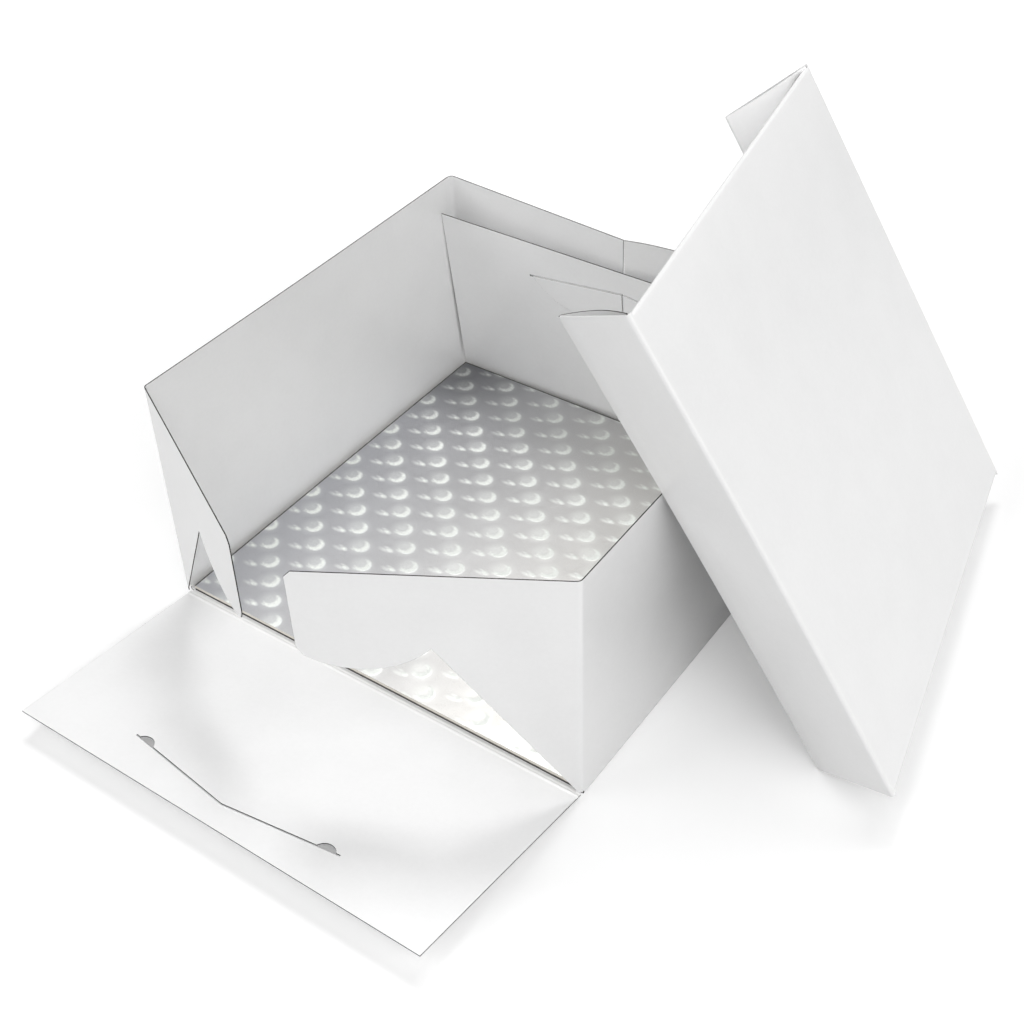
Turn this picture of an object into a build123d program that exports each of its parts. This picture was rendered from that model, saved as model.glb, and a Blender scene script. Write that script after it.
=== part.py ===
from build123d import *
from math import cos, hypot, radians, sin, tan
import os

# Square drop-front cake box of folded white card, its loose foil cake card, and its shallow lid
# leaning on the right wall. Millimetres, +Z up, -Y towards the open front, origin at the centre
# of the base underside.

# Folded card
board = 0.6
crease_gap = 0.15
hinge_gap = 0.3
corner_relief = 1.2

# Box body
box_width = 279.4
box_depth = 279.4
box_height = 152.4
left_lean_angle = 1.2
right_lean_angle = 0.0
back_lean_angle = 2.7
back_ear_turn_angle = 4.0

# Front and back flaps with the lock slit
flap_length = 128.0
flap_taper = 3.5
back_flap_lip = 2.5
back_flap_taper = 1.5
front_flap_lift_angle = 7.3
back_flap_lean_angle = 8.0
slit_half_span = 70.0
front_slit_shift = -3.0
slit_end_margin = 24.5
slit_apex_margin = 14.8
slit_width = 0.8
threaded_slit_width = 1.1
moon_offset = 62.0
moon_length = 11.0
moon_height = 3.6

# Corner ears with their tongues
ear_meeting_gap = 3.7
back_seam_gap = 0.5
notch_inset = 70.5
notch_height = 105.0
tongue_inset = 100.0
tongue_height = 89.5
tongue_end_height = 104.0
ear_corner_radius = 3.5
tongue_slit_start = 3.0
tongue_seam_gap = 0.4
tongue_shoulder = 15.3
tongue_shoulder_hang = 16.5
tongue_hang = 24.0
tongue_corner = 11.0
tongue_corner_hang = 19.5
tongue_tip_hang = 12.0
tongue_hang_angle = 1.5
tongue_gap = 0.25
tongue_reach = 12.0
left_ear_angle = 62.0
right_ear_angle = 60.0

# Cake card
card_clearance = 2.85
card_core = 3.7
card_paper = 0.15
card_forward = 0.4

# Lid
lid_width = 281.0
lid_side_depth = 56.0
near_fold_angle = 27.8
far_fold_angle = 46.0
upper_fold_angle = 36.0
lower_fold_angle = 36.0
pocket = 1.0
rollover_bow = 3.2
rollover_margin = 3.0
lid_ear_length = 58.0
lid_ear_taper = 34.0
lid_ear_margin = 5.0
lid_lean_angle = 31.18
lid_yaw_angle = 11.96
lid_roll_angle = -1.82
lid_front_setback = 44.8
lid_rest_gap = 0.3

half_board = board / 2
slit_rise = slit_end_margin - slit_apex_margin
slit_slope = slit_rise / slit_half_span
tongue_span = hypot(slit_half_span, slit_rise) - tongue_slit_start - tongue_seam_gap
card_width = box_width - 2 * board - 2 * card_clearance
card_depth = box_depth - 2 * board - 2 * card_clearance
ear_length = box_width / 2 - ear_meeting_gap
back_flap_length = flap_length + back_flap_lip
crease_x = box_width / 2 - half_board
crease_y = box_depth / 2 - half_board
still_setback = half_board + crease_gap
moving_setback = half_board + hinge_gap
front_crease_y = crease_y + board + hinge_gap + crease_gap


def vector(x, y, z):
    """Short name for a free vector."""
    return Vector(x, y, z)


def turned(axis_a, axis_b, angle):
    """Unit vector found by turning axis_a towards axis_b by an angle in degrees."""
    return axis_a * cos(radians(angle)) + axis_b * sin(radians(angle))


def seat(origin, along, away):
    """Plane of one panel: x along its crease, y away from the crease, z across the board."""
    return Plane(origin=origin, x_dir=along, z_dir=along.cross(away))


def edge_plane(panel_seat):
    """Plane across a crease, in which the panel is seen edge on."""
    return Plane(
        origin=panel_seat.origin, x_dir=panel_seat.y_dir, z_dir=panel_seat.x_dir
    )


def panel_edge(reach):
    """Edge view of a panel: flat board that ends in a round bead on its crease."""
    with BuildSketch() as edge:
        with BuildLine():
            Polyline(
                (0, -half_board), (reach, -half_board), (reach, half_board), (0, half_board)
            )
            ThreePointArc((0, half_board), (-half_board, 0), (0, -half_board))
        make_face()
    return edge.sketch


def outline(points):
    """Closed straight-sided outline."""
    with BuildSketch() as shape:
        with BuildLine():
            Polyline(*points, close=True)
        make_face()
    return shape.sketch


def tapered_outline(width, length, taper_start, taper_end):
    """Flap outline whose two sides run in by a taper towards the free edge."""
    return outline(
        [
            (0, -board),
            (width, -board),
            (width, 0),
            (width - taper_end, length),
            (taper_start, length),
            (0, 0),
        ]
    )


def slit_outline(middle, opening):
    """Shallow V slit of a flap, its apex towards the free edge."""
    end = flap_length - slit_end_margin
    apex = flap_length - slit_apex_margin
    return outline(
        [
            (middle - slit_half_span, end),
            (middle, apex),
            (middle + slit_half_span, end),
            (middle + slit_half_span, end + opening),
            (middle, apex + opening),
            (middle - slit_half_span, end + opening),
        ]
    )


def moon_outline(slit_middle, side):
    """Half-moon finger hole on the crease side of the slit."""
    middle = slit_middle + side * moon_offset
    chord_start = flap_length - slit_end_margin + slit_slope * (slit_half_span - moon_offset)
    half = moon_length / 2
    drop = side * slit_slope * half
    with BuildSketch() as moon:
        with BuildLine():
            chord = Line(
                (middle - half, chord_start + drop), (middle + half, chord_start - drop)
            )
            ThreePointArc(chord @ 1, (middle, chord_start - moon_height), chord @ 0)
        make_face()
    return moon.sketch


def ear_outline(crease_start):
    """Corner ear: diagonal lower edge up to the notch, then the rounded tongue and the end."""
    top = box_height - half_board
    with BuildSketch() as ear:
        with BuildLine():
            lower = Line((crease_start, -board), (crease_start, 0))
            diagonal = Line(lower @ 1, (notch_height, notch_inset))
            tongue = ThreePointArc(
                diagonal @ 1,
                (tongue_height, tongue_inset),
                (tongue_end_height - ear_corner_radius * 2, ear_length - ear_corner_radius),
            )
            corner = ThreePointArc(
                tongue @ 1,
                (tongue_end_height - ear_corner_radius, ear_length - ear_corner_radius / 3),
                (tongue_end_height, ear_length),
            )
            Polyline(
                corner @ 1,
                (top - ear_corner_radius, ear_length),
                (top, ear_length - ear_corner_radius),
                (top, -board),
                lower @ 0,
            )
        make_face()
    return ear.sketch


# Base panel
base_front = front_crease_y - moving_setback
base_back = crease_y - still_setback
with BuildPart() as base_panel:
    with BuildSketch(Plane.XY):
        with Locations((0, (base_back - base_front) / 2)):
            Rectangle(2 * (crease_x - still_setback), base_back + base_front)
    extrude(amount=board)

# Side walls, each leaning in from its crease on the base
up = vector(0, 0, 1)
rearward = vector(0, 1, 0)
forward = vector(0, -1, 0)
rightward = vector(1, 0, 0)
wall_length = crease_y * 2
wall_rise = box_height - half_board
back_crease_shift = wall_rise * tan(radians(back_lean_angle))


def wall_seat(side, lean):
    """Seat of a side wall, from the front end of its crease."""
    start = vector(side * crease_x, -crease_y, half_board)
    return seat(start, rearward, turned(up, rightward * -side, lean))


def wall_outline():
    """Side wall, whose back edge leans forward with the back ears."""
    front = moving_setback
    back = wall_length - still_setback
    return outline(
        [
            (front, board + corner_relief),
            (front + corner_relief, -board),
            (back - corner_relief, -board),
            (back, board + corner_relief),
            (back - back_crease_shift, wall_rise),
            (front, wall_rise),
        ]
    )


left_seat = wall_seat(-1, left_lean_angle)
right_seat = wall_seat(1, right_lean_angle)

with BuildPart() as left_wall:
    with BuildSketch(edge_plane(left_seat)):
        add(panel_edge(wall_rise))
    extrude(amount=wall_length)
    with BuildSketch(left_seat):
        add(wall_outline())
    extrude(amount=board, both=True, mode=Mode.INTERSECT)

with BuildPart() as right_wall:
    with BuildSketch(edge_plane(right_seat)):
        add(panel_edge(wall_rise))
    extrude(amount=wall_length)
    with BuildSketch(right_seat):
        add(wall_outline())
    extrude(amount=board, both=True, mode=Mode.INTERSECT)


# Ears on the front edges of the walls, turned in, and on the back edges, folded across
def front_ear_seat(panel_seat, side, angle):
    """Seat of a front ear, turned in from straight ahead by an angle."""
    inward = panel_seat.z_dir * -side
    return seat(panel_seat.origin, panel_seat.y_dir, turned(forward, inward, angle))


def back_ear_seat(panel_seat, side):
    """Seat of a back ear, which leans in with the wall's back edge and turns in a little."""
    start = panel_seat.origin + panel_seat.x_dir * wall_length
    crease = turned(panel_seat.y_dir, forward, back_lean_angle)
    back_normal = turned(rearward, up, back_lean_angle)
    square = (crease.cross(back_normal) * side).normalized()
    inward = crease.cross(square) * side
    return seat(start, crease, turned(square, inward, back_ear_turn_angle))


ear_start = board + corner_relief

with BuildPart() as front_left_ear:
    front_left_seat = front_ear_seat(left_seat, -1, left_ear_angle)
    with BuildSketch(edge_plane(front_left_seat)):
        add(panel_edge(ear_length))
    extrude(amount=box_height)
    with BuildSketch(front_left_seat):
        add(ear_outline(ear_start))
    extrude(amount=board, both=True, mode=Mode.INTERSECT)

with BuildPart() as front_right_ear:
    front_right_seat = front_ear_seat(right_seat, 1, right_ear_angle)
    with BuildSketch(edge_plane(front_right_seat)):
        add(panel_edge(ear_length))
    extrude(amount=box_height)
    with BuildSketch(front_right_seat):
        add(ear_outline(ear_start))
    extrude(amount=board, both=True, mode=Mode.INTERSECT)

# Back flap plane, leaning in from the back ears, and its threaded slit
back_flap_width = 2 * (crease_x - board - corner_relief)
back_flap_seat = seat(
    vector(-back_flap_width / 2, crease_y - board - crease_gap, half_board + board),
    rightward,
    turned(up, forward, back_flap_lean_angle),
)
back_flap_inward = back_flap_seat.z_dir


def slit_run(side):
    """Unit vector along one half of the back slit, from its outer end to its apex."""
    run = rightward * (-side * slit_half_span) + back_flap_seat.y_dir * slit_rise
    return run.normalized()


def slit_end(side):
    """Outer end of one half of the back slit, in the middle of its opening."""
    height = flap_length - slit_end_margin + threaded_slit_width / 2
    over = back_flap_width / 2 + side * slit_half_span
    return back_flap_seat.origin + rightward * over + back_flap_seat.y_dir * height


def bend_point(side, ear_seat, distance):
    """Where the bend of a back ear crosses the ear's own plane, in that plane."""
    start = slit_end(side) + slit_run(side) * distance
    travel = (ear_seat.origin - start).dot(ear_seat.z_dir)
    travel = travel / back_flap_inward.dot(ear_seat.z_dir)
    return ear_seat.to_local_coords(start + back_flap_inward * travel)


def back_ear_reach(lean):
    """Length of a back ear, from its crease to the seam where the two back ears meet."""
    crease_in = wall_rise * sin(radians(lean))
    return (crease_x - crease_in - back_seam_gap / 2) / cos(radians(back_ear_turn_angle))


def back_ear_outline(side, ear_seat, reach, lean):
    """Back ear with a level top, cut off along the bend where its tongue turns in."""
    top = box_height - half_board
    end_top = top + reach * tan(radians(lean))
    first = bend_point(side, ear_seat, tongue_slit_start)
    second = bend_point(side, ear_seat, tongue_slit_start + tongue_span)
    slope = (second.X - first.X) / (second.Y - first.Y)
    return outline(
        [
            (ear_start, -board),
            (ear_start, 0),
            (first.X, first.Y),
            (first.X + slope * (reach - first.Y), reach),
            (end_top, reach),
            (top, -board),
        ]
    )


def tongue_edge(side):
    """Edge view of a tongue: through the slit, then hanging a little off the inner face."""
    tilt = radians(tongue_hang_angle)
    mitre = half_board * tan(radians(45) - tilt / 2)
    turn_x = half_board + tongue_gap + mitre
    hang = tongue_hang / cos(tilt)
    tip_x = turn_x + hang * sin(tilt)
    tip_y = hang * cos(tilt)
    across_x = half_board * cos(tilt)
    across_y = half_board * sin(tilt)
    down = [
        (-tongue_reach, -half_board),
        (turn_x + mitre, -half_board),
        (tip_x + across_x, tip_y - across_y),
        (tip_x - across_x, tip_y + across_y),
        (turn_x - mitre, half_board),
        (-tongue_reach, half_board),
    ]
    return outline([(x, y * -side) for x, y in down])


def tongue_face(side):
    """Front view of a tongue from its bend down, rounded below and ending level with the seam."""
    tip_x = tongue_span - slit_slope * tongue_tip_hang
    with BuildSketch() as face:
        with BuildLine():
            top = Line((tongue_span + slit_slope * board, -board), (0, -board))
            root = Line(top @ 1, (0, board))
            lower = ThreePointArc(
                root @ 1, (tongue_shoulder, tongue_shoulder_hang), (tongue_span / 2, tongue_hang)
            )
            tip = ThreePointArc(
                lower @ 1,
                (tongue_span - tongue_corner, tongue_corner_hang),
                (tip_x, tongue_tip_hang),
            )
            Line(tip @ 1, top @ 0)
        make_face()
    return face.sketch if side < 0 else face.sketch.mirror(Plane.XZ)


def back_tongue(side, ear_seat):
    """Tongue of a back ear, trimmed flush with the outer face of that ear."""
    start = slit_end(side) + slit_run(side) * tongue_slit_start
    edge_seat = Plane(origin=start, x_dir=back_flap_inward, z_dir=slit_run(side))
    face_seat = Plane(origin=start, x_dir=slit_run(side), z_dir=back_flap_inward * -1)
    trim_seat = ear_seat.offset(-side * (half_board + tongue_reach))
    with BuildPart() as tongue:
        with BuildSketch(edge_seat):
            add(tongue_edge(side))
        extrude(amount=tongue_span + tongue_seam_gap)
        with BuildSketch(face_seat):
            add(tongue_face(side))
        extrude(amount=2 * tongue_reach, both=True, mode=Mode.INTERSECT)
        with BuildSketch(trim_seat):
            Rectangle(4 * ear_length, 4 * ear_length)
        extrude(amount=tongue_reach, both=True, mode=Mode.SUBTRACT)
    return tongue.part


back_left_reach = back_ear_reach(left_lean_angle)
back_right_reach = back_ear_reach(right_lean_angle)

with BuildPart() as back_left_ear:
    back_left_seat = back_ear_seat(left_seat, -1)
    with BuildSketch(edge_plane(back_left_seat)):
        add(panel_edge(back_left_reach))
    extrude(amount=2 * box_height)
    with BuildSketch(back_left_seat):
        add(back_ear_outline(-1, back_left_seat, back_left_reach, left_lean_angle))
    extrude(amount=board, both=True, mode=Mode.INTERSECT)
    add(back_tongue(-1, back_left_seat))

with BuildPart() as back_right_ear:
    back_right_seat = back_ear_seat(right_seat, 1)
    with BuildSketch(edge_plane(back_right_seat)):
        add(panel_edge(back_right_reach))
    extrude(amount=2 * box_height)
    with BuildSketch(back_right_seat):
        add(back_ear_outline(1, back_right_seat, back_right_reach, right_lean_angle))
    extrude(amount=board, both=True, mode=Mode.INTERSECT)
    add(back_tongue(1, back_right_seat))

# Front flap, lying out on the table and lifted a little by its crease
front_flap_width = box_width - 2 * corner_relief
front_slit_middle = front_flap_width / 2 + front_slit_shift
front_flap_seat = seat(
    vector(-front_flap_width / 2, -front_crease_y, half_board),
    rightward,
    turned(forward, up, front_flap_lift_angle),
)

with BuildPart() as front_flap:
    with BuildSketch(edge_plane(front_flap_seat)):
        add(panel_edge(flap_length))
    extrude(amount=front_flap_width)
    with BuildSketch(front_flap_seat):
        add(tapered_outline(front_flap_width, flap_length, flap_taper, flap_taper))
        add(slit_outline(front_slit_middle, slit_width), mode=Mode.SUBTRACT)
        for side in (-1, 1):
            add(moon_outline(front_slit_middle, side), mode=Mode.SUBTRACT)
    extrude(amount=board, both=True, mode=Mode.INTERSECT)

# Back flap, folded up inside the back ears
with BuildPart() as back_flap:
    with BuildSketch(edge_plane(back_flap_seat)):
        add(panel_edge(back_flap_length))
    extrude(amount=back_flap_width)
    with BuildSketch(back_flap_seat):
        add(tapered_outline(back_flap_width, back_flap_length, back_flap_taper, back_flap_taper))
        add(slit_outline(back_flap_width / 2, threaded_slit_width), mode=Mode.SUBTRACT)
    extrude(amount=board, both=True, mode=Mode.INTERSECT)

# Loose cake card: backing paper, grey board core and embossed foil face
with BuildPart() as card_backing:
    with BuildSketch(Plane.XY.offset(board)):
        with Locations((0, -card_forward)):
            Rectangle(card_width, card_depth)
    extrude(amount=card_paper)

with BuildPart() as card_core_board:
    with BuildSketch(Plane.XY.offset(board + card_paper)):
        with Locations((0, -card_forward)):
            Rectangle(card_width, card_depth)
    extrude(amount=card_core)

with BuildPart() as card_foil:
    with BuildSketch(Plane.XY.offset(board + card_paper + card_core)):
        with Locations((0, -card_forward)):
            Rectangle(card_width, card_depth)
    extrude(amount=card_paper)

# Lid frame: down_slope and across lie in its top, lid_normal points out of the top
level_across = vector(-sin(radians(lid_yaw_angle)), cos(radians(lid_yaw_angle)), 0)
lid_outward = vector(cos(radians(lid_yaw_angle)), sin(radians(lid_yaw_angle)), 0)
lid_normal = turned(lid_outward, up, lid_lean_angle)
up_slope = lid_normal.cross(level_across)
across = turned(level_across, up_slope, lid_roll_angle)
down_slope = across.cross(lid_normal)
inner = lid_normal * -1

near_away = turned(inner, across, near_fold_angle)
far_away = turned(inner, across * -1, far_fold_angle)
upper_away = turned(inner, down_slope, upper_fold_angle)
lower_away = turned(inner, down_slope * -1, lower_fold_angle)

# The lid stands on its lowest corner and its near rim leans on the top edge of the right wall
lid_span = lid_width - board
roll_radius = half_board + pocket / 2
near_rim_seat = near_away * (lid_side_depth - roll_radius) + across * half_board
near_rim = near_rim_seat + across * (roll_radius * cos(radians(near_fold_angle)))
lowest_near = near_away * lid_side_depth + down_slope * lid_width
lowest_far = across * lid_span + far_away * lid_side_depth + down_slope * lid_width
lid_rise = -min(lowest_near.Z, lowest_far.Z)
lean_normal = down_slope.cross(rearward).normalized()
lean_side = 1 if lean_normal.X > 0 else -1
wall_top = right_seat.origin + right_seat.y_dir * wall_rise
wall_edge = max(
    (wall_top + right_seat.z_dir * half_board).dot(lean_normal * lean_side),
    (wall_top - right_seat.z_dir * half_board).dot(lean_normal * lean_side),
)
rim_level = near_rim.dot(lean_normal * lean_side) + lid_rise * lean_normal.Z * lean_side
rim_target = wall_edge + roll_radius + half_board + lid_rest_gap
lid_shift = (rim_target - rim_level) / (lean_normal.X * lean_side)
lid_corner = vector(lid_shift, lid_front_setback - box_depth / 2, lid_rise)


def lid_point(down, over, out):
    """Point of the lid given down its slope, across it and out of its top."""
    return lid_corner + down_slope * down + across * over + lid_normal * out


def fold_setback(fold):
    """How far the lid top stays back from its outer edge to clear a side folded past square."""
    reach = half_board * (1 + sin(radians(fold))) / cos(radians(fold))
    return half_board + reach + crease_gap


# Lid top
with BuildPart() as lid_top:
    top_start = fold_setback(upper_fold_angle)
    top_end = lid_width - fold_setback(lower_fold_angle)
    top_near = fold_setback(near_fold_angle)
    top_far = lid_width - fold_setback(far_fold_angle)
    with BuildSketch(Plane(origin=lid_corner, x_dir=down_slope, z_dir=lid_normal)):
        with Locations(((top_start + top_end) / 2, (top_near + top_far) / 2)):
            Rectangle(top_end - top_start, top_far - top_near)
    extrude(amount=half_board, both=True)

# Outer layers of the near and far sides, each a full rectangle folded past square
near_seat = seat(lid_point(0, half_board, 0), down_slope, near_away)
far_seat = seat(lid_point(0, lid_width - half_board, 0), down_slope, far_away)
outer_reach = lid_side_depth - roll_radius

with BuildPart() as lid_near_side:
    with BuildSketch(edge_plane(near_seat)):
        add(panel_edge(outer_reach))
    extrude(amount=lid_width)

with BuildPart() as lid_far_side:
    with BuildSketch(edge_plane(far_seat)):
        add(panel_edge(outer_reach))
    extrude(amount=lid_width)


def rollover_edge(turn):
    """Edge view of a roll-over layer: half ring at the rim, then a bowed board back up."""
    outer_radius = roll_radius + half_board
    inner_radius = roll_radius - half_board
    far_x = outer_reach + crease_gap
    middle = (far_x + rollover_margin) / 2
    bow = pocket + board + rollover_bow
    with BuildSketch() as edge:
        with BuildLine():
            Line((far_x, turn * -half_board), (far_x, turn * half_board))
            ThreePointArc(
                (far_x, turn * half_board),
                (far_x + inner_radius, turn * roll_radius),
                (far_x, turn * (pocket + half_board)),
            )
            ThreePointArc(
                (far_x, turn * (pocket + half_board)),
                (middle, turn * (bow - half_board)),
                (rollover_margin, turn * (pocket + half_board)),
            )
            Line(
                (rollover_margin, turn * (pocket + half_board)),
                (rollover_margin, turn * (pocket + half_board + board)),
            )
            ThreePointArc(
                (rollover_margin, turn * (pocket + half_board + board)),
                (middle, turn * (bow + half_board)),
                (far_x, turn * (pocket + half_board + board)),
            )
            ThreePointArc(
                (far_x, turn * (pocket + half_board + board)),
                (far_x + outer_radius, turn * roll_radius),
                (far_x, turn * -half_board),
            )
        make_face()
    return edge.sketch


# Roll-over layers of the near and far sides, bowed away from the outer layers
rollover_length = lid_width - 2 * board
with BuildPart() as lid_near_rollover:
    with BuildSketch(edge_plane(near_seat).offset(board)):
        add(rollover_edge(1))
    extrude(amount=rollover_length)

with BuildPart() as lid_far_rollover:
    with BuildSketch(edge_plane(far_seat).offset(board)):
        add(rollover_edge(-1))
    extrude(amount=rollover_length)

# Upper and lower sides, cut back at a slant to clear the roll-over layers beside them
side_inset = pocket + 2 * board + rollover_bow + hinge_gap


def slant(side_angle, neighbour_angle):
    """How far a side runs in beside a neighbour that leans over it, over its full depth."""
    drop = (lid_side_depth - half_board) * cos(radians(side_angle))
    return drop * tan(radians(neighbour_angle))


def end_inset(neighbour_angle):
    """How far a side starts from the neighbour's crease."""
    return side_inset / cos(radians(neighbour_angle))


def lid_side_outline(side_angle):
    """Upper or lower side, from its near end to its far end."""
    reach = lid_side_depth - half_board
    near_start = end_inset(near_fold_angle)
    far_start = lid_span - end_inset(far_fold_angle)
    return outline(
        [
            (near_start, -board),
            (far_start, -board),
            (far_start, 0),
            (far_start - slant(side_angle, far_fold_angle), reach),
            (near_start + slant(side_angle, near_fold_angle), reach),
            (near_start, 0),
        ]
    )


upper_seat = seat(lid_point(half_board, half_board, 0), across, upper_away)
lower_seat = seat(lid_point(lid_width - half_board, half_board, 0), across, lower_away)

with BuildPart() as lid_upper_side:
    with BuildSketch(edge_plane(upper_seat)):
        add(panel_edge(lid_side_depth))
    extrude(amount=lid_span)
    with BuildSketch(upper_seat):
        add(lid_side_outline(upper_fold_angle))
    extrude(amount=board, both=True, mode=Mode.INTERSECT)

with BuildPart() as lid_lower_side:
    with BuildSketch(edge_plane(lower_seat)):
        add(panel_edge(lid_side_depth))
    extrude(amount=lid_span)
    with BuildSketch(lower_seat):
        add(lid_side_outline(lower_fold_angle))
    extrude(amount=board, both=True, mode=Mode.INTERSECT)


def lid_ear_seat(side_seat, side_angle, neighbour_angle, at_far_end, toward):
    """Seat of a lid ear, on the slanted end of a side, flat along the neighbour's inside."""
    start_inset = end_inset(neighbour_angle)
    run = slant(side_angle, neighbour_angle)
    reach = lid_side_depth - half_board
    if at_far_end:
        first = side_seat.origin + across * (lid_span - start_inset)
        last = first + side_seat.y_dir * reach - across * run
    else:
        first = side_seat.origin + across * start_inset
        last = first + side_seat.y_dir * reach + across * run
    crease = (last - first).normalized()
    outward_face = crease.cross(toward).normalized()
    return seat(first, crease, outward_face.cross(crease))


def lid_ear_outline(crease_length):
    """Lid ear: square to its crease at the rim, slanted off towards the lid top."""
    return outline(
        [
            (lid_ear_margin, still_setback),
            (lid_ear_margin + lid_ear_taper, lid_ear_length),
            (crease_length - lid_ear_margin, lid_ear_length),
            (crease_length - lid_ear_margin, still_setback),
        ]
    )


def lid_ear(ear_seat):
    """One ear of the lid, cut from flat board."""
    with BuildPart() as ear:
        with BuildSketch(ear_seat):
            add(lid_ear_outline(lid_side_depth))
        extrude(amount=half_board, both=True)
    return ear.part


with BuildPart() as lid_upper_near_ear:
    add(lid_ear(lid_ear_seat(upper_seat, upper_fold_angle, near_fold_angle, False, down_slope)))

with BuildPart() as lid_upper_far_ear:
    add(lid_ear(lid_ear_seat(upper_seat, upper_fold_angle, far_fold_angle, True, down_slope)))

with BuildPart() as lid_lower_near_ear:
    add(lid_ear(lid_ear_seat(lower_seat, lower_fold_angle, near_fold_angle, False, down_slope * -1)))

with BuildPart() as lid_lower_far_ear:
    add(lid_ear(lid_ear_seat(lower_seat, lower_fold_angle, far_fold_angle, True, down_slope * -1)))

sub_parts = {
    "base_panel": base_panel,
    "left_wall": left_wall,
    "right_wall": right_wall,
    "front_left_ear": front_left_ear,
    "front_right_ear": front_right_ear,
    "back_left_ear": back_left_ear,
    "back_right_ear": back_right_ear,
    "front_flap": front_flap,
    "back_flap": back_flap,
    "card_backing": card_backing,
    "card_core_board": card_core_board,
    "card_foil": card_foil,
    "lid_top": lid_top,
    "lid_near_side": lid_near_side,
    "lid_far_side": lid_far_side,
    "lid_near_rollover": lid_near_rollover,
    "lid_far_rollover": lid_far_rollover,
    "lid_upper_side": lid_upper_side,
    "lid_lower_side": lid_lower_side,
    "lid_upper_near_ear": lid_upper_near_ear,
    "lid_upper_far_ear": lid_upper_far_ear,
    "lid_lower_near_ear": lid_lower_near_ear,
    "lid_lower_far_ear": lid_lower_far_ear,
}

os.makedirs("parts", exist_ok=True)
for name, builder in sub_parts.items():
    builder.part.label = name
    export_step(builder.part, f"parts/{name}.step")
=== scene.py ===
"""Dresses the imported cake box: card sheets with soft folds, the foil cake card, a white studio.

Everything is in metres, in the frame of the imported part: +Z up, -Y towards the open front, and
the origin at the centre of the base's underside.
"""

import logging
import math
from dataclasses import dataclass, field
from enum import Enum, IntEnum
from typing import Callable

import bmesh
import bpy
from mathutils import Matrix, Vector

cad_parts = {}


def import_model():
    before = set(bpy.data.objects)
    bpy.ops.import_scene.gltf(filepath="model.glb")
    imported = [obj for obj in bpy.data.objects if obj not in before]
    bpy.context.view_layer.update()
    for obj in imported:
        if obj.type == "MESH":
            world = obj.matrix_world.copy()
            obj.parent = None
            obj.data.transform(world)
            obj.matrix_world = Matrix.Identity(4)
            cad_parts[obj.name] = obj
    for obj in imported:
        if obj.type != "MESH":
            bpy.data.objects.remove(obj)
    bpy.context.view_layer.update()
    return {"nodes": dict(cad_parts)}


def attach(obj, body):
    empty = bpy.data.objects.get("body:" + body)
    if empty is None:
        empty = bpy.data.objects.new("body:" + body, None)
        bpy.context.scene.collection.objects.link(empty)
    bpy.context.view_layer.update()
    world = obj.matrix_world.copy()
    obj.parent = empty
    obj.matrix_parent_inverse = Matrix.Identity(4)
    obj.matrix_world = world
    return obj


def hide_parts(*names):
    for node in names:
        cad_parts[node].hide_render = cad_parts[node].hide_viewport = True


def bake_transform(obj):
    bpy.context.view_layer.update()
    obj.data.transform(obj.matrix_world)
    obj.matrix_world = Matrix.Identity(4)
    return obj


Pair = tuple[float, float]
Triple = tuple[float, float, float]
Plane = tuple[Vector, Vector]
Warp = Callable[[Vector], Vector]
Socket = bpy.types.NodeSocket
Material = bpy.types.Material
Object = bpy.types.Object
BMesh = bmesh.types.BMesh

MM = 0.001
BOARD = 0.6 * MM
SHARP = math.radians(50)
log = logging.getLogger("cake_box")


class Body(str, Enum):
    """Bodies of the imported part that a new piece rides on."""

    BOX = "box"
    FLAP = "flap"
    LEFT_EAR = "left_ear"
    RIGHT_EAR = "right_ear"
    LID = "lid"


class Slot(str, Enum):
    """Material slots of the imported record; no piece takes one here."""

    WHITE_CARD = "white_card"


class Side(IntEnum):
    """Sides of the box, as their sign along X."""

    LEFT = -1
    RIGHT = 1


class Face(IntEnum):
    """Kinds of face on a sheet, as the places of their materials."""

    COATED = 0
    CUT = 1
    TRIMMED = 2


class MixSocket(IntEnum):
    """Colour sockets of the mix node, whose names its other kinds of socket share."""

    RESULT = 2
    BASE = 6
    OVER = 7


# Node graphs


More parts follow.
